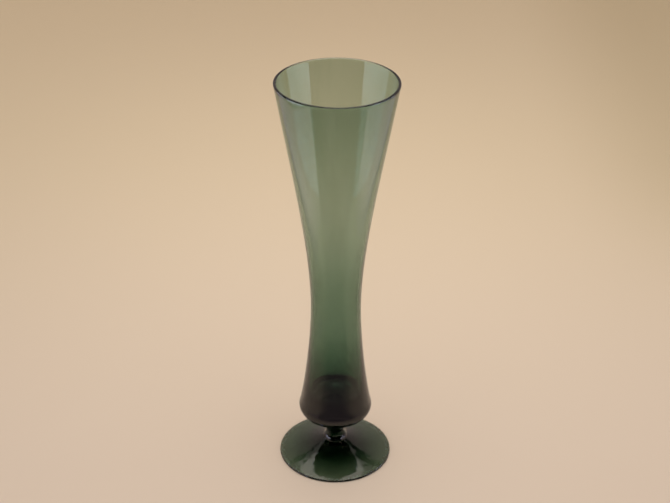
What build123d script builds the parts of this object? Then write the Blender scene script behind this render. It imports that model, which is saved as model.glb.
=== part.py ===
from build123d import *
import math
import os

# A footed trumpet vase in smoked green glass: a blown bowl, a short knopped stem and a conical foot.
# The pieces are shaped hot and fused, and each meets the next on a flat round seat.
# Millimetres and degrees, +Z up the vase's axis, origin at the middle of the ring that it stands on.
# Every piece is turned about that axis, from half a section: radius across, height up.

# Whole vase
TOTAL_HEIGHT = 250.0

# Bowl, outside. A pull is how far a curve keeps the direction it leaves with,
# as a share of the height that the curve spans.
MOUTH_DIAMETER = 70.2
MOUTH_LEAN = 9.6  # outwards from upright
MOUTH_PULL = 0.38
WAIST_DIAMETER = 30.0
WAIST_HEIGHT = 106.0
WAIST_PULL = 0.275
BELLY_DIAMETER = 44.6
BELLY_LEAN = 17.3  # outwards from upright, just above the belly
BELLY_PULL = 0.092
HEEL_RADIUS = 7.0  # where the belly turns under
UNDERSIDE_LEAN = 19.3  # upwards from level

# Bowl, inside
LIP_THICKNESS = 1.6
INNER_LEAN = 9.35  # outwards from upright, at the lip
INNER_MOUTH_PULL = 0.46
WAIST_WALL = 1.9
INNER_WAIST_PULL = 0.2
WELL_DIAMETER = 31.3  # where the wall turns in to the hollow's round bottom
WELL_LEAN = 2.9  # outwards from upright, going down
WELL_PULL = 0.23
WELL_DEPTH = 10.5  # height of the hollow's round bottom
WELL_REACH = 0.73  # how far that bottom keeps the wall's direction, as a share of its height
FLOOR_REACH = 0.75  # and how far it keeps level, as a share of its half width
FLOOR_THICKNESS = 13.2  # solid glass on the axis, over the stem

# Stem
STEM_HEIGHT = 14.8
BOWL_SEAT_DIAMETER = 12.4
NECK_SPREAD = 4.0  # height over which the neck spreads under the bowl
NECK_DIAMETER = 11.0
CREASE_RADIUS = 0.5  # between the bead and the neck
BEAD_DIAMETER = 14.8
BEAD_HEIGHT = 0.6  # from the foot to the bead's widest line
BEAD_CROWN = 2.8  # from there to the top of the bead
BEAD_HANDLE = 0.3  # less than a quarter ellipse takes, so the crown is a soft bevel
FOOT_SEAT_DIAMETER = 14.0

# Foot. A reach is how far a curve keeps its direction, as a share of the foot's width.
FOOT_HEIGHT = 10.2
FOOT_DIAMETER = 68.8
FOOT_EDGE = 1.4
EDGE_LEAN = 20.0  # upwards from level, at the edge
EDGE_REACH = 0.22
CROWN_LEAN = 25.1  # upwards from level, at the stem
CROWN_REACH = 0.507
RING_WIDTH = 1.2  # flat ring that the vase stands on
HOLLOW_DEPTH = 3.1  # rise of the underside inside the ring

# How much of its span a Bezier's handles take to follow a quarter of an ellipse
ROUND_HANDLE = 0.5523


def along(lean):
    """Unit step up a line that leans outwards from upright by this many degrees."""
    return Vector(math.sin(math.radians(lean)), math.cos(math.radians(lean)))


def sideways(lean):
    """Unit step square to that line, outwards."""
    return Vector(math.cos(math.radians(lean)), -math.sin(math.radians(lean)))


def turned(*edges):
    """The solid that a closed half section sweeps about the vase's axis."""
    section = make_face(Plane.XZ * Curve(list(edges)))
    return revolve(section, axis=Axis.Z)


def rounded_end(start, corner, end, handle=ROUND_HANDLE):
    """Curve from start to end, heading for the corner at both ends: a quarter ellipse by default."""
    return Bezier(start, start + (corner - start) * handle, end + (corner - end) * handle, end)


def wall_line(lip, lip_handle, waist, waist_handle, end_handle, end):
    """Two curves, the flare from the lip to upright at the waist and the skirt from there to the end.

    The skirt's handle under the waist is as long as carries the flare's curvature on, so no edge shows.
    """
    share = (end_handle.X - waist.X) / (lip_handle.X - waist.X)
    drop = Vector(0, waist_handle * math.sqrt(share))
    flare = Bezier(lip, lip_handle, waist + Vector(0, waist_handle), waist)
    skirt = Bezier(waist, waist - drop, end_handle, end)
    return flare, skirt


def make_bowl():
    """Blown bowl: a flaring wall with a round lip, over a thick solid floor."""
    half_lip = LIP_THICKNESS / 2
    lip = Vector(MOUTH_DIAMETER / 2 - half_lip, TOTAL_HEIGHT - half_lip)
    lip_outside = lip + sideways(MOUTH_LEAN) * half_lip
    lip_inside = lip - sideways(MOUTH_LEAN) * half_lip
    lip_top = lip + along(MOUTH_LEAN) * half_lip

    seat_height = FOOT_HEIGHT + STEM_HEIGHT
    seat = Vector(BOWL_SEAT_DIAMETER / 2, seat_height)
    seat_middle = Vector(0, seat_height)

    # The underside's cone leaves the seat and is tangent to the heel, which sets the belly's height.
    under = math.radians(UNDERSIDE_LEAN)
    heel_radius_out = BELLY_DIAMETER / 2 - HEEL_RADIUS
    under_run = heel_radius_out + HEEL_RADIUS * math.sin(under) - seat.X
    belly_height = seat_height + under_run * math.tan(under) + HEEL_RADIUS * math.cos(under)
    heel = Vector(heel_radius_out, belly_height)
    heel_top = heel + sideways(-BELLY_LEAN) * HEEL_RADIUS
    heel_side = heel + Vector(HEEL_RADIUS, 0)
    heel_bottom = heel + Vector(math.sin(under), -math.cos(under)) * HEEL_RADIUS

    waist = Vector(WAIST_DIAMETER / 2, WAIST_HEIGHT)
    span = lip_outside.Y - waist.Y
    lip_handle = lip_outside - along(MOUTH_LEAN) * MOUTH_PULL * span
    belly_handle = heel_top + along(-BELLY_LEAN) * BELLY_PULL * (waist.Y - heel_top.Y)
    outside = wall_line(lip_outside, lip_handle, waist, WAIST_PULL * span, belly_handle, heel_top)

    floor = Vector(0, seat_height + FLOOR_THICKNESS)
    well = Vector(WELL_DIAMETER / 2, floor.Y + WELL_DEPTH)
    inner_waist = waist - Vector(WAIST_WALL, 0)
    inner_span = lip_inside.Y - inner_waist.Y
    inner_handle = lip_inside - along(INNER_LEAN) * INNER_MOUTH_PULL * inner_span
    well_handle = well + along(-WELL_LEAN) * WELL_PULL * (inner_waist.Y - well.Y)
    inner_pull = INNER_WAIST_PULL * inner_span
    inside = wall_line(lip_inside, inner_handle, inner_waist, inner_pull, well_handle, well)
    bottom = Bezier(
        well,
        well - along(-WELL_LEAN) * WELL_REACH * WELL_DEPTH,
        floor + Vector(FLOOR_REACH * well.X, 0),
        floor,
    )

    return turned(
        Line(seat_middle, seat),
        Line(seat, heel_bottom),
        ThreePointArc(heel_bottom, heel_side, heel_top),
        *outside,
        ThreePointArc(lip_outside, lip_top, lip_inside),
        *inside,
        bottom,
        Line(floor, seat_middle),
    )


def make_stem():
    """Solid stem: a low bead on the foot, and a straight neck that spreads under the bowl."""
    top = FOOT_HEIGHT + STEM_HEIGHT
    foot_seat = Vector(FOOT_SEAT_DIAMETER / 2, FOOT_HEIGHT)
    bowl_seat = Vector(BOWL_SEAT_DIAMETER / 2, top)
    bead = Vector(BEAD_DIAMETER / 2, FOOT_HEIGHT + BEAD_HEIGHT)
    neck = NECK_DIAMETER / 2
    bead_top = Vector(neck + CREASE_RADIUS, bead.Y + BEAD_CROWN)
    neck_foot = Vector(neck, bead_top.Y + CREASE_RADIUS)
    neck_top = Vector(neck, top - NECK_SPREAD)
    return turned(
        Line(Vector(0, FOOT_HEIGHT), foot_seat),
        rounded_end(foot_seat, Vector(bead.X, foot_seat.Y), bead),
        rounded_end(bead, Vector(bead.X, bead_top.Y), bead_top, BEAD_HANDLE),
        rounded_end(bead_top, Vector(neck, bead_top.Y), neck_foot),
        Line(neck_foot, neck_top),
        rounded_end(neck_top, Vector(neck, top), bowl_seat),
        Line(bowl_seat, Vector(0, top)),
        Line(Vector(0, top), Vector(0, FOOT_HEIGHT)),
    )


def make_foot():
    """Conical foot with a round edge, a flat ring to stand on and a hollow underside."""
    half_edge = FOOT_EDGE / 2
    edge = Vector(FOOT_DIAMETER / 2 - half_edge, half_edge)
    edge_bottom = edge - Vector(0, half_edge)
    edge_side = edge + Vector(half_edge, 0)
    edge_top = edge + along(EDGE_LEAN) * half_edge
    seat = Vector(FOOT_SEAT_DIAMETER / 2, FOOT_HEIGHT)
    width = edge_top.X - seat.X
    crown = Bezier(
        edge_top,
        edge_top - sideways(EDGE_LEAN) * EDGE_REACH * width,
        seat + sideways(CROWN_LEAN) * CROWN_REACH * width,
        seat,
    )
    ring_inside = edge_bottom - Vector(RING_WIDTH, 0)
    hollow_top = Vector(0, HOLLOW_DEPTH)
    hollow_mirror = Vector(-ring_inside.X, 0)
    dome = ThreePointArc(ring_inside, hollow_top, hollow_mirror)
    return turned(
        Line(edge_bottom, ring_inside),
        dome.trim(0, 0.5),
        Line(hollow_top, Vector(0, FOOT_HEIGHT)),
        Line(Vector(0, FOOT_HEIGHT), seat),
        crown,
        ThreePointArc(edge_top, edge_side, edge_bottom),
    )


os.makedirs("parts", exist_ok=True)
export_step(make_bowl(), "parts/bowl.step")
export_step(make_stem(), "parts/stem.step")
export_step(make_foot(), "parts/foot.step")
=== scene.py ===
"""Dresses the trumpet vase: a bowl, a stem and a foot of smoked green glass, on a pale warm sweep."""

import logging
import math
from dataclasses import dataclass
from enum import Enum
from typing import Callable

import bpy
import numpy as np
from mathutils import Matrix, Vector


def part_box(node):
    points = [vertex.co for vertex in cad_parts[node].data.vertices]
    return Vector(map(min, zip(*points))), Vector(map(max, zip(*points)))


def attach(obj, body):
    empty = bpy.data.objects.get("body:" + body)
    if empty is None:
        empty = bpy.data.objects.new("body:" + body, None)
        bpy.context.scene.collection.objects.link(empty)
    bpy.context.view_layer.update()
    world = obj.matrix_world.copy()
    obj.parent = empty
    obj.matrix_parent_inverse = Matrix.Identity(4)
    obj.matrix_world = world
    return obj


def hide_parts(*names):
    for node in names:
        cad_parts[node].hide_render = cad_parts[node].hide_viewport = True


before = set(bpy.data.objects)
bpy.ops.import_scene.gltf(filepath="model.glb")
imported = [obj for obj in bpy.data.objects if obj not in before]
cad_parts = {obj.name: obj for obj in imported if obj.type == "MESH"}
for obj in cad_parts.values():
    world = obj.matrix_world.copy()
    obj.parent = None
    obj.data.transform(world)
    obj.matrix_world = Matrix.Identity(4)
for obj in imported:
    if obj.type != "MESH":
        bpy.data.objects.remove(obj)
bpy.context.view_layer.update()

LOG = logging.getLogger("trumpet_vase")

MM = 0.001  # the frame and the studio are in metres, and the vase's own sizes in millimetres
IMAGE_WIDTH = 670  # pixels across the picture that the camera was worked out for
LIGHT_BOUNCES = 24  # enough to pass through both walls and the base
ROUND_HANDLE = 0.5523  # share of its span that a Bezier's handle takes to follow a quarter of an ellipse
SHARP_FROM = math.radians(32)  # a seat's corner stays crisp, and any softer bend is shaded smooth
MIX_FIRST, MIX_SECOND, MIX_RESULT = 6, 7, 2  # the Mix node's sockets for colours

Rows = np.ndarray  # rows of (radius, height) along half a section, in millimetres
Span = tuple[float, float]
Point = tuple[float, float, float]
Colour = tuple[float, float, float]
FloorLine = tuple[Span, Span]  # (x, y) of its near end, then of its far end
Socket = bpy.types.NodeSocket
Feed = Socket | float | tuple[float, ...]
Wander = Callable[[np.ndarray, np.ndarray, np.ndarray], tuple[np.ndarray, np.ndarray]]


class Part(Enum):
    """The vase's pieces, by the CAD node that each replaces."""

    BOWL = "bowl"
    STEM = "stem"
    FOOT = "foot"

    @property
    def slot(self) -> str:
        """The record's material slot for this piece."""
        return f"{self.value}_glass"


class Ray(Enum):
    """Kinds of ray, by the Light Path output that tells them."""

    CAMERA = "Is Camera Ray"
    DIFFUSE = "Is Diffuse Ray"
    TRANSMISSION = "Is Transmission Ray"


# Section lines


def up_line(lean: float) -> np.ndarray:
    """Unit step up a line that leans outwards from upright by this many radians."""
    return np.array([math.sin(lean), math.cos(lean)])


def out_line(lean: float) -> np.ndarray:
    """Unit step square to that line, outwards."""
    return np.array([math.cos(lean), -math.sin(lean)])


def bezier(start: Rows, leave: Rows, arrive: Rows, end: Rows, count: int) -> Rows:
    """Rows along a cubic Bezier: each point weighted by its Bernstein polynomial of t, t from 0 to 1.

    Args:
        start: First point.
        leave: Handle that the curve sets out for.
        arrive: Handle that the curve comes in from.
        end: Last point.
        count: Rows, the first and last included.

    Returns:
        Points on the curve, evenly spaced in t.
    """
    t = np.linspace(0.0, 1.0, count)[:, None]
    s = 1.0 - t
    return s**3 * start + 3 * s**2 * t * leave + 3 * s * t**2 * arrive + t**3 * end


def rounded_end(start: Rows, corner: Rows, end: Rows, count: int, handle: float = ROUND_HANDLE) -> Rows:
    """Rows from start to end that head for the corner at both ends, a quarter of an ellipse by default."""
    return bezier(start, start + (corner - start) * handle, end + (corner - end) * handle, end, count)


def arc(centre: Rows, radius: float, first: float, last: float, count: int) -> Rows:
    """Rows along a circle: centre plus radius times (cosine, sine) of an even run of angles.

    Args:
        centre: Middle of the circle.
        radius: Its radius.
        first: Angle of the first row, from outwards towards up.
        last: Angle of the last row.
        count: Rows, the first and last included.

    Returns:
        Points on the arc.
    """
    angle = np.linspace(first, last, count)
    return centre + radius * np.stack([np.cos(angle), np.sin(angle)], axis=1)


def joined(*runs: Rows) -> Rows:
    """One run of rows out of several, where each starts on the last row of the one before."""
    return np.concatenate([runs[0], *(run[1:] for run in runs[1:])])


def smooth_ramp(value: np.ndarray, low: float, high: float) -> np.ndarray:
    """0 below low, 1 above high and 3t squared less 2t cubed between, t being the share of the way."""
    t = np.clip((value - low) / (high - low), 0.0, 1.0)
    return t * t * (3.0 - 2.0 * t)


@dataclass(frozen=True)
class Swell:
    """One wave round the axis."""

    size: float  # beside the other waves that it is summed with
    count: int  # waves to a turn
    phase: float
    twist: float = 0.0  # phase gained with each millimetre of radius

    def at(self, angle: np.ndarray, radius: np.ndarray) -> np.ndarray:
        """Size times the cosine of count times the angle, plus twist times the radius, plus phase."""
        return self.size * np.cos(self.count * angle + self.twist * radius + self.phase)


# Meshes


def still(angle: np.ndarray, radius: np.ndarray, height: np.ndarray) -> tuple[np.ndarray, np.ndarray]:
    """Leaves a turned surface as it is."""
    return radius, height


def turned_mesh(name: str, section: Rows, around: int, wander: Wander = still) -> bpy.types.Mesh:
    """A closed surface turned about the vertical axis.

    The surface is (r cos a, r sin a, z) on a grid of section row and angle a, where wander first moves r
    and z a little by the angle. The first and last rows lie on the axis and become single pole points.

    Args:
        name: The mesh's name.
        section: Rows of (radius, height), up the outside, with the solid on the left of the way.
        around: Points round the axis.
        wander: Gives the moved radius and height for angle, radius and height.

    Returns:
        The mesh, in metres, smooth but for sharp corners.
    """
    rings = section[1:-1]
    turn = np.arange(around) * (2.0 * math.pi / around)
    angle, radius = np.meshgrid(turn, rings[:, 0])
    height = np.repeat(rings[:, 1:], around, axis=1)
    radius, height = wander(angle, radius, height)
    grid = np.stack([radius * np.cos(angle), radius * np.sin(angle), height], axis=-1).reshape(-1, 3)
    poles = np.array([[0.0, 0.0, section[0, 1]], [0.0, 0.0, section[-1, 1]]])
    points = np.concatenate([grid, poles]) * MM

    here = np.arange(around)
    beside = (here + 1) % around
    low = np.arange(len(rings) - 1)[:, None] * around
    high = low + around
    quads = np.stack(np.broadcast_arrays(low + here, low + beside, high + beside, high + here), axis=-1)
    first, last = len(grid), len(grid) + 1
    top_row = (len(rings) - 1) * around
    start_fan = np.stack(np.broadcast_arrays(first, beside, here), axis=-1)
    end_fan = np.stack(np.broadcast_arrays(top_row + here, top_row + beside, last), axis=-1)

    mesh = bpy.data.meshes.new(name)
    faces = quads.reshape(-1, 4).tolist() + start_fan.tolist() + end_fan.tolist()
    mesh.from_pydata(points, [], faces)
    mesh.shade_smooth()
    mesh.set_sharp_from_angle(angle=SHARP_FROM)
    mesh.validate()
    return mesh


def sheet_mesh(name: str, points: np.ndarray) -> bpy.types.Mesh:
    """An open sheet through a grid of points.

    Args:
        name: The mesh's name.
        points: Rows by columns by (x, y, z), in metres. It faces along its row way crossed with its
            column way.

    Returns:
        The mesh.
    """
    rows, columns = points.shape[:2]
    corner = np.arange(rows * columns).reshape(rows, columns)
    quads = np.stack([corner[:-1, :-1], corner[1:, :-1], corner[1:, 1:], corner[:-1, 1:]], axis=-1)
    mesh = bpy.data.meshes.new(name)
    mesh.from_pydata(points.reshape(-1, 3), [], quads.reshape(-1, 4).tolist())
    mesh.shade_smooth()
    return mesh


def placed(mesh: bpy.types.Mesh, material: bpy.types.Material) -> bpy.types.Object:
    """An object for a mesh, at the origin and linked to the scene.

    Args:
        mesh: The mesh, whose name the object takes.
        material: What it is dressed in.

    Returns:
        The object.
    """
    piece = bpy.data.objects.new(mesh.name, mesh)
    mesh.materials.append(material)
    bpy.context.scene.collection.objects.link(piece)
    return piece


# Shader nodes


def opaque(colour: Feed) -> Feed:
    """A plain colour with full alpha, as sockets take it, or a node's output as it is."""
    return colour if isinstance(colour, Socket) else (*colour, 1.0)


@dataclass
class Bench:
    """Lays nodes in one tree and links them."""

    tree: bpy.types.NodeTree

    def add(
        self, kind: str, feeds: dict[int | str, Feed] | None = None, **settings: object
    ) -> bpy.types.Node:
        """Lays one node.

        Args:
            kind: The node's type.
            feeds: What goes into its inputs, by name or number: another node's output, or a plain value.
            settings: The node's own options, set before its inputs are fed.

        Returns:
            The node.
        """
        node = self.tree.nodes.new(kind)
        for option, value in settings.items():
            setattr(node, option, value)
        for socket, value in (feeds or {}).items():
            self.feed(node.inputs[socket], value)
        return node

    def feed(self, socket: Socket, value: Feed) -> None:
        """Links an output to an input, or sets the input's plain value.

        Args:
            socket: The input.
            value: Another node's output, or a plain value.
        """
        if isinstance(value, Socket):
            self.tree.links.new(value, socket)
        else:
            socket.default_value = value

    def sum(self, operation: str, left: Feed, right: Feed) -> Socket:
        """The result of one Math node with two inputs."""
        return self.add("ShaderNodeMath", {0: left, 1: right}, operation=operation).outputs[0]

    def spread(self, value: Socket, span: Span, onto: Span = (0.0, 1.0)) -> Socket:
        """A value carried smoothly from one span onto another, and held at its ends.

        Args:
            value: The value.
            span: Where the way starts and ends.
            onto: What the value becomes there.

        Returns:
            The value carried over.
        """
        feeds = {
            "Value": value,
            "From Min": span[0],
            "From Max": span[1],
            "To Min": onto[0],
            "To Max": onto[1],
        }
        return self.add("ShaderNodeMapRange", feeds, interpolation_type="SMOOTHSTEP").outputs[0]

    def noise(self, place: Socket, scale: Feed, detail: float, rough: float = 0.5) -> Socket:
        """The value of one Noise Texture node."""
        feeds = {"Vector": place, "Scale": scale, "Detail": detail, "Roughness": rough}
        return self.add("ShaderNodeTexNoise", feeds).outputs[0]

    def blend(self, share: Feed, first: Feed, second: Feed) -> Socket:
        """A colour between two others, by the second's share from 0 to 1."""
        feeds = {0: share, MIX_FIRST: opaque(first), MIX_SECOND: opaque(second)}
        return self.add("ShaderNodeMix", feeds, data_type="RGBA").outputs[MIX_RESULT]


def fresh_material(name: str) -> tuple[bpy.types.Material, Bench]:
    """A new material with an empty node tree.

    Args:
        name: The material's name.

    Returns:
        The material, and a bench to work on it.
    """
    material = bpy.data.materials.new(name)
    material.use_nodes = True
    material.node_tree.nodes.clear()
    return material, Bench(material.node_tree)


class BlownSurface:
    """Shader group for the skin of hand-worked glass, shared by the three glass finishes.

    Slow noise, drawn out up the axis, is the waviness left by the blowing iron. Finer noise, spread onto a
    narrow band of roughness, is the film that handling and water leave. A third, much drawn out, is the
    faint streaking of the glass itself.
    """

    NAME = "blown_glass_skin"
    WAVE_DETAIL = 1.0
    WAVE_FINENESS = 0.35
    FILM_DETAIL = 5.0
    FILM_FINENESS = 0.62
    FILM_BAND = (0.46, 0.72)  # noise values over which the film comes up
    STREAK_DRAW = (1.0, 1.0, 0.15)  # drawn out this much more than the waviness
    STREAK_SCALE = 160.0
    STREAK_DETAIL = 3.0
    STREAK_BAND = (0.35, 0.7)
    CLEAR_TINT = (1.0, 1.0, 1.0)
    STREAK_TINT = (0.955, 0.965, 0.95)

    def __init__(self) -> None:
        """Builds the group once."""
        tree = bpy.data.node_groups.new(self.NAME, "ShaderNodeTree")
        ports = tree.interface
        ports.new_socket("Vector", in_out="INPUT", socket_type="NodeSocketVector")
        for name in ("Wave Scale", "Drawn Out", "Film Scale", "Clean Roughness", "Film Roughness"):
            ports.new_socket(name, in_out="INPUT", socket_type="NodeSocketFloat")
        ports.new_socket("Height", in_out="OUTPUT", socket_type="NodeSocketFloat")
        ports.new_socket("Roughness", in_out="OUTPUT", socket_type="NodeSocketFloat")
        ports.new_socket("Tint", in_out="OUTPUT", socket_type="NodeSocketColor")
        self.tree = tree
        self._lay(Bench(tree))

    def _lay(self, bench: Bench) -> None:
        """Lays the group's nodes.

        Args:
            bench: The group's bench.
        """
        given = bench.add("NodeGroupInput").outputs
        stretch = bench.add("ShaderNodeCombineXYZ", {0: 1.0, 1: 1.0, 2: given["Drawn Out"]}).outputs[0]
        drawn = self._stretched(bench, given["Vector"], stretch)
        wave = bench.noise(drawn, given["Wave Scale"], self.WAVE_DETAIL, self.WAVE_FINENESS)
        film = bench.noise(given["Vector"], given["Film Scale"], self.FILM_DETAIL, self.FILM_FINENESS)
        extra = bench.sum("SUBTRACT", given["Film Roughness"], given["Clean Roughness"])
        extra = bench.sum("MULTIPLY", bench.spread(film, self.FILM_BAND), extra)
        rough = bench.sum("ADD", given["Clean Roughness"], extra)
        streak_place = self._stretched(bench, drawn, self.STREAK_DRAW)
        streak = bench.noise(streak_place, self.STREAK_SCALE, self.STREAK_DETAIL)
        tint = bench.blend(bench.spread(streak, self.STREAK_BAND), self.CLEAR_TINT, self.STREAK_TINT)
        bench.add("NodeGroupOutput", {"Height": wave, "Roughness": rough, "Tint": tint})

    @staticmethod
    def _stretched(bench: Bench, place: Socket, stretch: Feed) -> Socket:
        """A place with each coordinate multiplied by its own factor."""
        return bench.add("ShaderNodeVectorMath", {0: place, 1: stretch}, operation="MULTIPLY").outputs[0]


@dataclass(frozen=True)
class SmokedGlass:
    """A finish of smoked green glass, clear on the surface and coloured by its depth."""

    HEADROOM = 1.05  # keeps the strongest absorbed colour a little above black
    SCUFF_RISE = (0.1 * MM, 0.45 * MM)  # heights over which the standing ring's scuffing fades out
    SCRATCH_SCALE = 900.0
    SCRATCH_DETAIL = 4.0
    SCRATCH_BAND = (0.35, 0.65)
    SCUFF_ROUGHNESS = (0.12, 0.4)  # added between the scratches, and in them

    name: str
    taken: Colour = (466.0, 330.0, 414.0)  # absorbed red, green and blue, as exponents for a metre of glass
    ior: float = 1.52
    wave_scale: float = 26.0
    drawn_out: float = 0.45
    wave_height: float = 0.04 * MM
    film_scale: float = 55.0
    clean_roughness: float = 0.0
    film_roughness: float = 0.03
    worn_ring: bool = False

    def made(self, skin: BlownSurface) -> bpy.types.Material:
        """Builds the material: skin from the group, one transmissive shader and plain absorption inside.

        Args:
            skin: The shared group for the surface.

        Returns:
            The material.
        """
        material, bench = fresh_material(self.name)
        place = bench.add("ShaderNodeTexCoord").outputs["Object"]
        given = {
            "Vector": place,
            "Wave Scale": self.wave_scale,
            "Drawn Out": self.drawn_out,
            "Film Scale": self.film_scale,
            "Clean Roughness": self.clean_roughness,
            "Film Roughness": self.film_roughness,
        }
        surface = bench.add("ShaderNodeGroup", given, node_tree=skin.tree).outputs
        rough = surface["Roughness"]
        if self.worn_ring:
            rough = self._scuffed(bench, place, rough)
        relief = {"Strength": 1.0, "Distance": self.wave_height, "Height": surface["Height"]}
        bump = bench.add("ShaderNodeBump", relief)
        shader = bench.add(
            "ShaderNodeBsdfPrincipled",
            {
                "Base Color": surface["Tint"],
                "Roughness": rough,
                "IOR": self.ior,
                "Transmission Weight": 1.0,
                "Normal": bump.outputs["Normal"],
            },
        )
        most = max(self.taken) * self.HEADROOM
        left_over = opaque(tuple(1.0 - each / most for each in self.taken))
        inside = bench.add("ShaderNodeVolumeAbsorption", {"Color": left_over, "Density": most})
        bench.add("ShaderNodeOutputMaterial", {"Surface": shader.outputs[0], "Volume": inside.outputs[0]})
        return material

    def _scuffed(self, bench: Bench, place: Socket, rough: Socket) -> Socket:
        """Roughness with the standing ring scuffed, by height above the table and fine scratch noise.

        Args:
            bench: The material's bench.
            place: Object coordinates.
            rough: Roughness of the clean skin.

        Returns:
            The roughness with the scuffing laid over it.
        """
        height = bench.add("ShaderNodeSeparateXYZ", {0: place}).outputs["Z"]
        low = bench.spread(height, self.SCUFF_RISE, (1.0, 0.0))
        scratch = bench.noise(place, self.SCRATCH_SCALE, self.SCRATCH_DETAIL)
        worn = bench.sum("MULTIPLY", low, bench.spread(scratch, self.SCRATCH_BAND, self.SCUFF_ROUGHNESS))
        return bench.sum("ADD", rough, worn)


# The vase


def box_sizes(part: Part) -> tuple[float, float, float]:
    """Width, lowest height and highest height of a CAD node, in millimetres."""
    low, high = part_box(part.value)
    return (high[0] - low[0]) / MM, low[2] / MM, high[2] / MM


def fitted(piece: bpy.types.Object, part: Part) -> bpy.types.Object:
    """Seats a finished piece in the frame: it rides on the vase's body and stands for its CAD node.

    Args:
        piece: The piece.
        part: The node that it stands for.

    Returns:
        The piece.
    """
    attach(piece, "root")
    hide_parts(part.value)
    LOG.info("%s: %d faces, stands for %s", piece.name, len(piece.data.polygons), part.value)
    return piece


@dataclass(frozen=True)
class Trumpet:
    """One wall line of the bowl: upright at the waist, flaring up to the lip and down to the belly.

    A pull is how far a curve keeps the direction it leaves with, as a share of the height it spans.
    """

    lip: Rows
    lean: float  # at the lip, outwards from upright
    mouth_pull: float
    waist: Rows
    waist_pull: float

    @property
    def span(self) -> float:
        """Height from the waist to the lip."""
        return self.lip[1] - self.waist[1]

    @property
    def arrive(self) -> Rows:
        """Handle that the flare comes to the lip from."""
        return self.lip - up_line(self.lean) * self.mouth_pull * self.span

    def flare(self, count: int) -> Rows:
        """Rows up from the waist to the lip, along a Bezier that ends at the lip's lean."""
        leave = self.waist + np.array([0.0, self.waist_pull * self.span])
        return bezier(self.waist, leave, self.arrive, self.lip, count)

    def skirt(self, handle: Rows, end: Rows, count: int) -> Rows:
        """Rows down from the waist to the end, along a Bezier that carries the flare's curvature on.

        Args:
            handle: Handle that the curve comes to its end from.
            end: Last point.
            count: Rows, the first and last included.

        Returns:
            Points on the curve.
        """
        share = (handle[0] - self.waist[0]) / (self.arrive[0] - self.waist[0])
        drop = self.waist_pull * self.span * math.sqrt(share)
        return bezier(self.waist, self.waist - np.array([0.0, drop]), handle, end, count)


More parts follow.
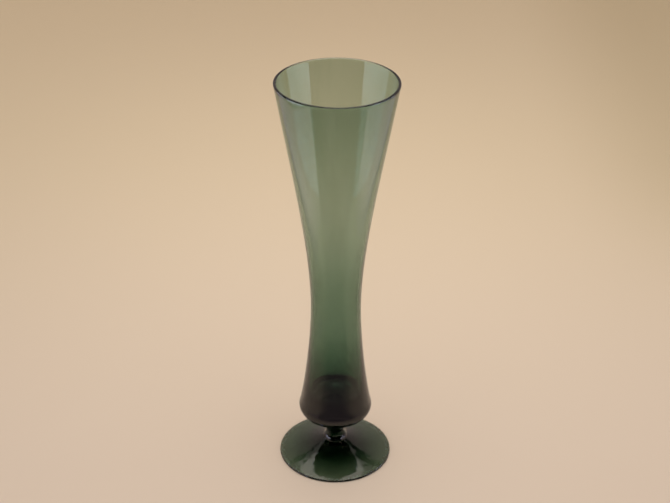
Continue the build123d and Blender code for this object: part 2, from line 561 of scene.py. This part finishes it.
@dataclass
class Bowl:
    """The blown bowl: a trumpet flare over a waist, a belly with a solid base, and a fire-polished lip."""

    mouth: float  # diameter at the lip
    seat_height: float
    top: float
    mouth_lean: float = math.radians(9.6)
    mouth_pull: float = 0.38
    waist: float = 30.0
    waist_height: float = 106.0
    waist_pull: float = 0.275
    belly: float = 44.6
    belly_lean: float = math.radians(17.3)
    belly_pull: float = 0.092
    heel: float = 7.0  # radius where the belly turns under
    underside_lean: float = math.radians(19.3)
    seat: float = 12.4
    lip: float = 1.6
    inner_lean: float = math.radians(9.35)
    inner_mouth_pull: float = 0.46
    waist_wall: float = 1.9
    inner_waist_pull: float = 0.209
    well: float = 31.3  # diameter where the wall turns in to the hollow's round bottom
    well_lean: float = math.radians(2.9)
    well_pull: float = 0.23
    well_depth: float = 10.5
    well_reach: float = 0.73
    floor_reach: float = 0.75
    floor: float = 13.2  # solid glass on the axis
    oval: float = 0.10  # how far the mouth is from round
    oval_waves: tuple[Swell, ...] = (Swell(1.0, 2, 0.7), Swell(0.33, 3, 2.1))
    lip_wave: float = 0.12  # rise and fall of the lip
    lip_waves: tuple[Swell, ...] = (Swell(0.6, 2, -0.4), Swell(0.4, 3, 1.3))
    lip_reach: float = 30.0  # how far down the wall the lip's wave goes
    around: int = 208
    cone_rows: int = 14
    heel_rows: int = 18
    skirt_rows: int = 70
    flare_rows: int = 100
    lip_rows: int = 15
    inner_flare_rows: int = 96
    inner_skirt_rows: int = 66
    bottom_rows: int = 48

    @classmethod
    def from_frame(cls) -> "Bowl":
        """The bowl at the size of its CAD node."""
        width, low, high = box_sizes(Part.BOWL)
        return cls(mouth=width, seat_height=low, top=high)

    def section(self) -> Rows:
        """Half the bowl's section: seat, underside, heel, skirt and flare, over the lip, and down the well.

        Returns:
            Rows from the middle of the seat round to the middle of the floor.
        """
        half = self.lip / 2
        lip = np.array([self.mouth / 2 - half, self.top - half])
        lip_outside = lip + out_line(self.mouth_lean) * half
        lip_inside = lip - out_line(self.mouth_lean) * half
        seat = np.array([self.seat / 2, self.seat_height])

        under = self.underside_lean
        heel_out = self.belly / 2 - self.heel
        run = heel_out + self.heel * math.sin(under) - seat[0]
        heel = np.array([heel_out, seat[1] + run * math.tan(under) + self.heel * math.cos(under)])
        heel_arc = arc(heel, self.heel, under - math.pi / 2, self.belly_lean, self.heel_rows)
        cone = np.linspace(seat, heel_arc[0], self.cone_rows)

        waist = np.array([self.waist / 2, self.waist_height])
        outside = Trumpet(lip_outside, self.mouth_lean, self.mouth_pull, waist, self.waist_pull)
        belly_rise = self.belly_pull * (waist[1] - heel_arc[-1][1])
        belly_handle = heel_arc[-1] + up_line(-self.belly_lean) * belly_rise

        floor = np.array([0.0, self.seat_height + self.floor])
        well = np.array([self.well / 2, floor[1] + self.well_depth])
        inner_waist = waist - np.array([self.waist_wall, 0.0])
        inside = Trumpet(
            lip_inside, self.inner_lean, self.inner_mouth_pull, inner_waist, self.inner_waist_pull
        )
        well_handle = well + up_line(-self.well_lean) * self.well_pull * (inner_waist[1] - well[1])
        well_foot = well - up_line(-self.well_lean) * self.well_reach * self.well_depth
        floor_handle = floor + np.array([self.floor_reach * well[0], 0.0])

        return joined(
            np.array([[0.0, seat[1]], seat]),
            cone,
            heel_arc,
            outside.skirt(belly_handle, heel_arc[-1], self.skirt_rows)[::-1],
            outside.flare(self.flare_rows),
            arc(lip, half, -self.mouth_lean, math.pi - self.mouth_lean, self.lip_rows),
            inside.flare(self.inner_flare_rows)[::-1],
            inside.skirt(well_handle, well, self.inner_skirt_rows),
            bezier(well, well_foot, floor_handle, floor, self.bottom_rows),
        )

    def wander(
        self, angle: np.ndarray, radius: np.ndarray, height: np.ndarray
    ) -> tuple[np.ndarray, np.ndarray]:
        """Hand-blown looseness: the mouth a little oval and its lip a little wavy, fading out to the waist.

        Radius gains oval times the sum of the oval waves. Height gains the lip's wave times the sum of its
        waves less 1, so that the lip only dips. Each is scaled by a smooth ramp up to the lip.

        Args:
            angle: Angle about the axis.
            radius: Radius before.
            height: Height before.

        Returns:
            Radius and height after.
        """
        share = smooth_ramp(height, self.waist_height, self.top)
        wide = self.oval * sum(wave.at(angle, radius) for wave in self.oval_waves)
        near_lip = smooth_ramp(height, self.top - self.lip_reach, self.top)
        rise = self.lip_wave * (sum(wave.at(angle, radius) for wave in self.lip_waves) - 1.0)
        return radius + wide * share, height + rise * near_lip

    def build(self, finish: SmokedGlass, skin: BlownSurface) -> bpy.types.Object:
        """Makes the bowl's mesh, dresses it and seats it in the frame."""
        mesh = turned_mesh("bowl_glass", self.section(), self.around, self.wander)
        return fitted(placed(mesh, finish.made(skin)), Part.BOWL)


@dataclass
class Stem:
    """The short solid stem: a softly bevelled bead on the foot and a neck that spreads under the bowl."""

    bead: float  # widest diameter
    bottom: float
    top: float
    bead_height: float = 0.6  # from the foot to the bead's widest line
    bead_crown: float = 1.9  # from there to the top of the bead
    bead_round: float = 0.3  # less than a quarter ellipse takes, so the crown is a soft bevel
    neck: float = 10.4
    crease: float = 0.3  # fillet between bead and neck
    spread: float = 4.0  # height over which the neck spreads under the bowl
    foot_seat: float = 14.0
    bowl_seat: float = 12.4
    seam: float = 0.01  # held back from each neighbour, so that no two faces share a plane
    around: int = 128
    bead_rows: int = 20
    crown_rows: int = 26
    crease_rows: int = 10
    neck_rows: int = 8
    spread_rows: int = 24

    @classmethod
    def from_frame(cls) -> "Stem":
        """The stem at the size of its CAD node."""
        width, low, high = box_sizes(Part.STEM)
        return cls(bead=width, bottom=low, top=high)

    def section(self) -> Rows:
        """Half the stem's section: a rounded bead, its bevelled crown, a fillet, a neck and its spread.

        Returns:
            Rows from the middle of the lower seat to the middle of the upper one.
        """
        low, high = self.bottom + self.seam, self.top - self.seam
        foot_seat = np.array([self.foot_seat / 2, low])
        bowl_seat = np.array([self.bowl_seat / 2, high])
        bead = np.array([self.bead / 2, self.bottom + self.bead_height])
        neck = self.neck / 2
        bead_top = np.array([neck + self.crease, bead[1] + self.bead_crown])
        bead_corner = np.array([bead[0], bead_top[1]])
        neck_foot = np.array([neck, bead_top[1] + self.crease])
        neck_top = np.array([neck, high - self.spread])
        return joined(
            np.array([[0.0, low], foot_seat]),
            rounded_end(foot_seat, np.array([bead[0], low]), bead, self.bead_rows),
            rounded_end(bead, bead_corner, bead_top, self.crown_rows, self.bead_round),
            rounded_end(bead_top, np.array([neck, bead_top[1]]), neck_foot, self.crease_rows),
            np.linspace(neck_foot, neck_top, self.neck_rows),
            rounded_end(neck_top, np.array([neck, high]), bowl_seat, self.spread_rows),
            np.array([bowl_seat, [0.0, high]]),
        )

    def build(self, finish: SmokedGlass, skin: BlownSurface) -> bpy.types.Object:
        """Makes the stem's mesh, dresses it and seats it in the frame."""
        mesh = turned_mesh("stem_glass", self.section(), self.around)
        return fitted(placed(mesh, finish.made(skin)), Part.STEM)


@dataclass
class Foot:
    """The conical foot: a hollow underside, a standing ring, a round edge and a crown up to the stem.

    A reach is how far the crown's curve keeps its direction, as a share of the crown's width.
    """

    width: float
    bottom: float
    top: float
    edge: float = 1.4
    edge_lean: float = math.radians(20.0)
    edge_reach: float = 0.22
    crown_lean: float = math.radians(25.1)
    crown_reach: float = 0.507
    seat: float = 14.0
    ring: float = 1.2
    hollow: float = 3.1
    ripple: float = 0.02  # tool marks on the crown
    ripple_waves: tuple[Swell, ...] = (Swell(1.0, 3, 0.4, 0.35), Swell(0.6, 5, 1.9, -0.5))
    ripple_fade: float = 6.0  # distance from the seat, and from the edge, at which the marks are whole
    ripple_margin: float = 1.0  # left plain inside the edge
    ripple_rise: float = 0.5  # above the hollow's top, where the marks begin, and over which they come up
    around: int = 224
    dome_rows: int = 60
    ring_rows: int = 6
    edge_rows: int = 20
    crown_rows: int = 110

    @classmethod
    def from_frame(cls) -> "Foot":
        """The foot at the size of its CAD node."""
        width, low, high = box_sizes(Part.FOOT)
        return cls(width=width, bottom=low, top=high)

    def section(self) -> Rows:
        """Half the foot's section: hollow, standing ring, round edge and crown.

        The hollow is an arc whose radius follows from its width and rise. The crown is a Bezier that
        leaves the edge at the edge's lean and comes to the seat at the crown's.

        Returns:
            Rows from the middle of the hollow to the middle of the seat.
        """
        half = self.edge / 2
        edge = np.array([self.width / 2 - half, self.bottom + half])
        inside = edge[0] - self.ring
        bend = (inside**2 + self.hollow**2) / (2 * self.hollow)
        middle = np.array([0.0, self.bottom + self.hollow - bend])
        dome = arc(middle, bend, math.pi / 2, math.acos(inside / bend), self.dome_rows)
        edge_arc = arc(edge, half, -math.pi / 2, math.pi / 2 - self.edge_lean, self.edge_rows)
        rim = edge_arc[-1]
        seat = np.array([self.seat / 2, self.top])
        span = rim[0] - seat[0]
        leave = rim - out_line(self.edge_lean) * self.edge_reach * span
        arrive = seat + out_line(self.crown_lean) * self.crown_reach * span
        return joined(
            dome,
            np.linspace(dome[-1], edge_arc[0], self.ring_rows),
            edge_arc,
            bezier(rim, leave, arrive, seat, self.crown_rows),
            np.array([seat, [0.0, self.top]]),
        )

    def wander(
        self, angle: np.ndarray, radius: np.ndarray, height: np.ndarray
    ) -> tuple[np.ndarray, np.ndarray]:
        """Tool marks: shallow spiral ripples on the crown, none at its edge, its seat or underneath.

        Height gains ripple times the sum of its waves, scaled by smooth ramps that are 0 at the seat and
        the edge and by one that is 0 below the crown.

        Args:
            angle: Angle about the axis.
            radius: Radius before.
            height: Height before.

        Returns:
            Radius and height after.
        """
        seat, rim = self.seat / 2, self.width / 2
        share = smooth_ramp(radius, seat, seat + self.ripple_fade)
        share = share * (1.0 - smooth_ramp(radius, rim - self.ripple_fade, rim - self.ripple_margin))
        crown_line = self.bottom + self.hollow + self.ripple_rise
        share = share * smooth_ramp(height, crown_line, crown_line + self.ripple_rise)
        marks = sum(wave.at(angle, radius) for wave in self.ripple_waves)
        return radius, height + self.ripple * marks * share

    def build(self, finish: SmokedGlass, skin: BlownSurface) -> bpy.types.Object:
        """Makes the foot's mesh, dresses it and seats it in the frame."""
        mesh = turned_mesh("foot_glass", self.section(), self.around, self.wander)
        return fitted(placed(mesh, finish.made(skin)), Part.FOOT)


# The studio


def seen_by(bench: Bench, *rays: Ray) -> Socket:
    """Tells rays of some kinds from all others.

    Args:
        bench: The bench to lay the nodes on.
        rays: The kinds.

    Returns:
        1 for rays of these kinds and 0 for others.
    """
    path = bench.add("ShaderNodeLightPath").outputs
    total = path[rays[0].value]
    for ray in rays[1:]:
        total = bench.sum("MAXIMUM", total, path[ray.value])
    return total


def mirrored(bench: Bench) -> Socket:
    """1 for sight that a surface has mirrored at least once and 0 for straight or refracted sight."""
    return bench.sum("MINIMUM", bench.add("ShaderNodeLightPath").outputs["Glossy Depth"], 1.0)


@dataclass(frozen=True)
class Paper:
    """Matt warm paper: lit round the vase, one even tone far off, and painted dark in front where mirrored.

    The even tone is for straight and refracted sight, and behind the vase for mirrored sight too, where it
    is a dimmer painted reflection. In front, mirrored sight shows painted shade and painted reflections:
    unlit paper, then the room that the camera stands in, then that room's gloom. The far right corner is
    painted darker, as painted shade for the less light that falls there.
    """

    ROUGHNESS = 0.95
    MOTTLE_SCALE = 9.0
    MOTTLE_DETAIL = 3.0
    MOTTLE_SHARE = 0.08  # of the change from the near colour to the far one
    GRAIN_SCALE = 1400.0
    GRAIN_DETAIL = 2.0
    GRAIN_STRENGTH = 0.15
    GRAIN_HEIGHT = 0.2 * MM

    far: Colour
    # painted reflection: the far tone, dimmer, for mirrored sight
    painted_far_reflection: Colour = (0.48, 0.39, 0.36)
    near_colour: Colour = (0.79, 0.63, 0.5)
    colour: Colour = (0.785, 0.622, 0.43)
    # painted shade on the far right corner of the paper
    painted_corner_shade: Colour = (0.68, 0.535, 0.355)
    # painted shade and painted reflections, shown only where the glass mirrors the paper in front
    painted_front_shade: Colour = (0.33, 0.26, 0.27)
    painted_room_reflection: Colour = (0.46, 0.36, 0.37)
    painted_gloom_shade: Colour = (0.15, 0.13, 0.15)
    turn: Span = (-0.1, 0.5)  # where the near colour starts to give way, and has
    corner_x: Span = (0.17, 0.33)  # where the far right corner starts to be painted darker, and is
    corner_y: Span = (0.15, 0.42)
    front: Span = (-0.17, -0.08)  # where the mirrored paper has gone to painted shade, and starts to
    beyond: Span = (-0.29, -0.21)  # where the paper shows a painted reflection of the room in front, and starts to
    gloom: Span = (-0.5, -0.31)  # where that painted room has gone to painted gloom, and starts to
    back: Span = (0.45, 0.85)  # where the mirrored paper starts to be even, and is
    lit_centre: Point = (0.0, 0.38, 0.0)
    lit_radius: float = 0.62
    fade: float = 0.4

    def made(self) -> bpy.types.Material:
        """Builds the paper: a matt shader, which gives way to an even glow far off.

        Returns:
            The material.
        """
        material, bench = fresh_material("warm_paper")
        place = bench.add("ShaderNodeTexCoord").outputs["Object"]
        across, depth, _ = bench.add("ShaderNodeSeparateXYZ", {0: place}).outputs
        mirror = mirrored(bench)
        # painted shade: where mirrored, the paper in front takes the painted dark colours
        unlit = bench.sum("MULTIPLY", mirror, bench.spread(depth, self.front, (1.0, 0.0)))
        shown = bench.blend(unlit, self._lit(bench, place, across, depth), self._painted_front(bench, depth))
        grain = bench.noise(place, self.GRAIN_SCALE, self.GRAIN_DETAIL)
        relief = {"Strength": self.GRAIN_STRENGTH, "Distance": self.GRAIN_HEIGHT, "Height": grain}
        paper = bench.add(
            "ShaderNodeBsdfPrincipled",
            {
                "Base Color": shown,
                "Roughness": self.ROUGHNESS,
                "Specular IOR Level": 0.0,
                "Normal": bench.add("ShaderNodeBump", relief).outputs[0],
            },
        )
        # mirrored sight of the far tone is a dimmer painted reflection
        even = bench.blend(mirror, self.far, self.painted_far_reflection)
        glow = bench.add("ShaderNodeEmission", {"Color": even, "Strength": 1.0})
        share = self._even_share(bench, place, depth, mirror)
        both = bench.add("ShaderNodeMixShader", {0: share, 1: paper.outputs[0], 2: glow.outputs[0]})
        bench.add("ShaderNodeOutputMaterial", {"Surface": both.outputs[0]})
        return material

    def _lit(self, bench: Bench, place: Socket, across: Socket, depth: Socket) -> Socket:
        """Colour of the lit paper: from near to far with a slight mottle, and with painted shade darkening
        the far right corner.

        Args:
            bench: The material's bench.
            place: Object coordinates.
            across: The first of them.
            depth: The second.

        Returns:
            The colour.
        """
        mottle = bench.noise(place, self.MOTTLE_SCALE, self.MOTTLE_DETAIL)
        run = bench.spread(depth, self.turn, (0.0, 1.0 - self.MOTTLE_SHARE))
        run = bench.sum("ADD", run, bench.sum("MULTIPLY", mottle, self.MOTTLE_SHARE))
        tone = bench.blend(run, self.near_colour, self.colour)
        # painted shade: the far right corner is darkened in the paper's colour
        corner = bench.sum(
            "MULTIPLY", bench.spread(across, self.corner_x), bench.spread(depth, self.corner_y)
        )
        return bench.blend(corner, tone, self.painted_corner_shade)

    def _painted_front(self, bench: Bench, depth: Socket) -> Socket:
        """Painted shade and painted reflection that the glass mirrors from the front: unlit paper, then the
        room, then gloom.

        Args:
            bench: The material's bench.
            depth: The second of the object coordinates.

        Returns:
            The colour.
        """
        room = bench.spread(depth, self.beyond, (1.0, 0.0))
        edge = bench.blend(room, self.painted_front_shade, self.painted_room_reflection)
        return bench.blend(bench.spread(depth, self.gloom, (1.0, 0.0)), edge, self.painted_gloom_shade)

    def _even_share(self, bench: Bench, place: Socket, depth: Socket, mirror: Socket) -> Socket:
        """Share of the even tone: by distance for straight sight, and by depth behind the vase if mirrored.

        Args:
            bench: The material's bench.
            place: Object coordinates.
            depth: The second of them.
            mirror: 1 for mirrored sight.

        Returns:
            The share.
        """
        feeds = {0: place, 1: self.lit_centre}
        away = bench.add("ShaderNodeVectorMath", feeds, operation="DISTANCE").outputs["Value"]
        reach = bench.spread(away, (self.lit_radius, self.lit_radius + self.fade))
        straight = bench.sum("SUBTRACT", seen_by(bench, Ray.CAMERA, Ray.TRANSMISSION), mirror)
        straight = bench.sum("MULTIPLY", reach, bench.sum("MAXIMUM", straight, 0.0))
        behind = bench.sum("MULTIPLY", mirror, bench.spread(depth, self.back))
        return bench.sum("MAXIMUM", straight, behind)


@dataclass(frozen=True)
class LitCloth:
    """White cloth lit from behind, bright on its face and brightest across its patch.

    It shows in mirrored sight and lights the paper under the glass, and plain sight passes it by.
    """

    MOTTLE_SCALE = 6.0
    MOTTLE_DETAIL = 2.0
    MOTTLE_BAND = (0.3, 0.7)
    MOTTLE_LEVEL = (0.97, 1.03)

    name: str
    strength: float
    colour: Colour
    dim_strength: float = 0.0
    hem: float = 1.0  # share of the light left along its hem
    hem_rise: Span = (0.0, 0.045)  # heights over which the light comes up to all of it
    patch: Span = (-9.0, 9.0)  # from left to right
    soft: float = 0.03  # how far the patch's ends fade

    def made(self) -> bpy.types.Material:
        """Builds the cloth: light from its face, with a slight mottle, and clear from behind.

        Returns:
            The material.
        """
        material, bench = fresh_material(self.name)
        place = bench.add("ShaderNodeTexCoord").outputs["Object"]
        across, _, height = bench.add("ShaderNodeSeparateXYZ", {0: place}).outputs
        left, right = self.patch
        inside = bench.sum(
            "MULTIPLY",
            bench.spread(across, (left - self.soft, left + self.soft)),
            bench.spread(across, (right - self.soft, right + self.soft), (1.0, 0.0)),
        )
        level = bench.spread(inside, (0.0, 1.0), (self.dim_strength, self.strength))
        mottle = bench.noise(place, self.MOTTLE_SCALE, self.MOTTLE_DETAIL)
        level = bench.sum("MULTIPLY", level, bench.spread(mottle, self.MOTTLE_BAND, self.MOTTLE_LEVEL))
        level = bench.sum("MULTIPLY", level, bench.spread(height, self.hem_rise, (self.hem, 1.0)))
        behind = bench.add("ShaderNodeNewGeometry").outputs["Backfacing"]
        path = bench.add("ShaderNodeLightPath").outputs
        bounced = bench.sum("ADD", path["Glossy Depth"], path["Diffuse Depth"])
        faced = bench.sum("SUBTRACT", 1.0, behind)
        shown = bench.sum("MULTIPLY", bench.sum("MINIMUM", bounced, 1.0), faced)
        light = bench.add("ShaderNodeEmission", {"Color": opaque(self.colour), "Strength": level})
        clear = bench.add("ShaderNodeBsdfTransparent")
        both = bench.add("ShaderNodeMixShader", {0: shown, 1: clear.outputs[0], 2: light.outputs[0]})
        bench.add("ShaderNodeOutputMaterial", {"Surface": both.outputs[0]})
        return material


@dataclass
class Studio:
    """A small tent of lit cloth over a paper sweep: a low and a high cloth on each side, and a roof.

    The low cloths are warm and dim and the high ones cool and bright. In front is a dim room, from the
    world's dim mirrored tone and the paper's painted reflection.
    """

    left_low: FloorLine = ((-0.154, -0.128), (-0.25, 0.25))  # where the lower left cloth stands
    right_low: FloorLine = ((0.173, -0.110), (0.262, 0.25))
    low_heights: Span = (0.0, 0.122)
    low_colour: Colour = (1.0, 0.75, 0.74)
    low_strength: float = 1.17
    low_dim: float = 0.8
    low_patch: Span = (-0.2, 0.22)
    low_hem: float = 0.5
    left_high: FloorLine = ((-0.17, -0.112), (-0.25, 0.14))  # and the cloth hung above it
    right_high: FloorLine = ((0.175, -0.106), (0.285, 0.12))
    high_heights: Span = (0.125, 0.25)
    high_colour: Colour = (0.78, 0.79, 1.0)
    high_strength: float = 4.6
    high_hem: float = 0.565
    high_rise: Span = (0.19, 0.235)
    roof_x: Span = (-0.4, 0.4)
    roof_near: float = -0.15
    roof_far: Span = (0.372, 0.26)  # its far edge, at its left and right ends
    roof_height: float = 0.5
    roof_colour: Colour = (1.0, 0.91, 0.83)
    roof_strength: float = 2.05
    roof_dim: float = 0.5
    roof_patch: Span = (-0.205, 0.165)
    cloth_rows: int = 8  # each way
    sweep_front: float = -6.0
    sweep_bend: float = 0.85  # where the paper starts to rise behind
    sweep_radius: float = 0.45
    sweep_top: float = 1.6
    sweep_half: float = 4.0
    sweep_drop: float = 0.05 * MM  # under the standing ring, so that no two faces share a plane
    floor_rows: int = 60
    bend_rows: int = 25
    rise_rows: int = 8
    sweep_columns: int = 9
    lamp_place: Point = (0.012, 0.185, 0.4)
    lamp_size: Span = (0.38, 0.7)
    lamp_watts: float = 0.8
    room: Colour = (0.688, 0.688, 0.688)  # light from the room on matt things
    mirror_room: Colour = (0.03, 0.03, 0.03)  # the room as mirrored in the glass
    backdrop: Colour = (0.57, 0.44, 0.31)

    def build(self) -> None:
        """Makes the sweep, the cloth and the world."""
        sweep = placed(self._sweep(), Paper(far=self.backdrop).made())
        low = LitCloth(
            "low_cloth",
            self.low_strength,
            self.low_colour,
            dim_strength=self.low_dim,
            hem=self.low_hem,
            patch=self.low_patch,
        ).made()
        high = LitCloth(
            "high_cloth", self.high_strength, self.high_colour, hem=self.high_hem, hem_rise=self.high_rise
        ).made()
        over = LitCloth(
            "roof_cloth",
            self.roof_strength,
            self.roof_colour,
            dim_strength=self.roof_dim,
            patch=self.roof_patch,
        ).made()
        sides = [
            placed(self._side("left_low_cloth", *self.left_low[::-1], self.low_heights), low),
            placed(self._side("right_low_cloth", *self.right_low, self.low_heights), low),
            placed(self._side("left_high_cloth", *self.left_high[::-1], self.high_heights), high),
            placed(self._side("right_high_cloth", *self.right_high, self.high_heights), high),
        ]
        roof = placed(self._roof(), over)
        for cloth in (*sides, roof):
            cloth.visible_camera = cloth.visible_diffuse = cloth.visible_shadow = False
        self._lamp()
        self._world()
        LOG.info("studio: a sweep, %d side cloths and a roof", len(sides))

    def _sweep(self) -> bpy.types.Mesh:
        """The paper: a line along the floor, a quarter turn and a line up, carried from side to side.

        Returns:
            The mesh.
        """
        corner = np.array([self.sweep_bend, 0.0])
        floor = np.linspace([self.sweep_front, 0.0], corner, self.floor_rows)
        bend = np.linspace(0.0, math.pi / 2, self.bend_rows)
        turn = corner + self.sweep_radius * np.stack([np.sin(bend), 1 - np.cos(bend)], axis=1)
        back = self.sweep_bend + self.sweep_radius
        rise = np.linspace([back, self.sweep_radius], [back, self.sweep_top], self.rise_rows)
        along = joined(floor, turn, rise)
        across = np.linspace(-self.sweep_half, self.sweep_half, self.sweep_columns)
        x, y = np.meshgrid(across, along[:, 0], indexing="ij")
        _, z = np.meshgrid(across, along[:, 1], indexing="ij")
        return sheet_mesh("sweep", np.stack([x, y, z - self.sweep_drop], axis=-1))

    def _side(self, name: str, start: Span, end: Span, heights: Span) -> bpy.types.Mesh:
        """An upright sheet: a line on the floor, carried up.

        Args:
            name: The mesh's name.
            start: Where its line on the floor starts.
            end: Where that line ends. The sheet faces the left of the way there.
            heights: Of its hem and its top.

        Returns:
            The mesh.
        """
        along = np.linspace(start, end, self.cloth_rows)
        height = np.linspace(*heights, self.cloth_rows)
        x, z = np.meshgrid(along[:, 0], height)
        y, _ = np.meshgrid(along[:, 1], height)
        return sheet_mesh(name, np.stack([x, y, z], axis=-1))

    def _roof(self) -> bpy.types.Mesh:
        """A level sheet that faces down: x across by a share of the way back, to a far edge that slants.

        Returns:
            The mesh.
        """
        across = np.linspace(*self.roof_x, self.cloth_rows)
        x, share = np.meshgrid(across, np.linspace(0.0, 1.0, self.cloth_rows))
        far = np.interp(x, self.roof_x, self.roof_far)
        y = self.roof_near + share * (far - self.roof_near)
        return sheet_mesh("roof_cloth", np.stack([x, y, np.full_like(x, self.roof_height)], axis=-1))

    def _lamp(self) -> None:
        """A long lamp over the paper, which the glass doesn't show."""
        data = bpy.data.lights.new("paper_lamp", "AREA")
        data.shape = "RECTANGLE"
        data.size, data.size_y = self.lamp_size
        data.energy = self.lamp_watts
        lamp = bpy.data.objects.new("paper_lamp", data)
        lamp.location = self.lamp_place
        lamp.visible_camera = lamp.visible_glossy = lamp.visible_transmission = False
        bpy.context.scene.collection.objects.link(lamp)

    def _world(self) -> None:
        """A room that lights matt things softly, is dim where mirrored and else has the backdrop's tone."""
        world = bpy.data.worlds.new("room")
        world.use_nodes = True
        bpy.context.scene.world = world
        bench = Bench(world.node_tree)
        world.node_tree.nodes.clear()
        seen, light, dim = (
            bench.add("ShaderNodeBackground", {"Color": opaque(tone), "Strength": 1.0}).outputs[0]
            for tone in (self.backdrop, self.room, self.mirror_room)
        )
        straight = seen_by(bench, Ray.CAMERA, Ray.TRANSMISSION)
        lit = bench.add("ShaderNodeMixShader", {0: straight, 1: light, 2: seen})
        sight = bench.sum("SUBTRACT", mirrored(bench), seen_by(bench, Ray.DIFFUSE))
        sight = bench.sum("MAXIMUM", sight, 0.0)
        both = bench.add("ShaderNodeMixShader", {0: sight, 1: lit.outputs[0], 2: dim})
        bench.add("ShaderNodeOutputWorld", {"Surface": both.outputs[0]})


@dataclass(frozen=True)
class Viewpoint:
    """Where the picture was taken from."""

    place: Point = (-0.0007, -0.744, 0.5698)
    down: float = 0.52087  # below level, in radians
    roll: float = 0.0055
    focal_pixels: float = 1473.5
    sensor: float = 36.0

    def build(self) -> None:
        """Makes the scene's camera: it stands at its place, tips down from level and rolls a little."""
        data = bpy.data.cameras.new("viewpoint")
        data.sensor_fit = "HORIZONTAL"
        data.sensor_width = self.sensor
        data.lens = self.sensor * self.focal_pixels / IMAGE_WIDTH
        camera = bpy.data.objects.new("viewpoint", data)
        tip = Matrix.Rotation(math.pi / 2 - self.down, 4, "X")
        camera.matrix_world = Matrix.Translation(self.place) @ tip @ Matrix.Rotation(self.roll, 4, "Z")
        bpy.context.scene.collection.objects.link(camera)
        bpy.context.scene.camera = camera


def set_look() -> None:
    """Sets plain display of colour, and the light bounces."""
    scene = bpy.context.scene
    scene.view_settings.view_transform = "Standard"
    scene.cycles.max_bounces = LIGHT_BOUNCES
    scene.cycles.transmission_bounces = LIGHT_BOUNCES


def main() -> None:
    """Builds the vase and its studio, in order, and reports each piece."""
    logging.basicConfig(level=logging.INFO, format="%(name)s: %(message)s")
    set_look()
    Viewpoint().build()
    skin = BlownSurface()
    foot_smoke = SmokedGlass(
        "foot_smoke",
        wave_scale=190.0,
        drawn_out=1.0,
        wave_height=0.2 * MM,
        film_roughness=0.05,
        worn_ring=True,
    )
    Foot.from_frame().build(foot_smoke, skin)
    Stem.from_frame().build(SmokedGlass("stem_smoke"), skin)
    Bowl.from_frame().build(SmokedGlass("bowl_smoke"), skin)
    Studio().build()


if __name__ == "__main__":
    main()
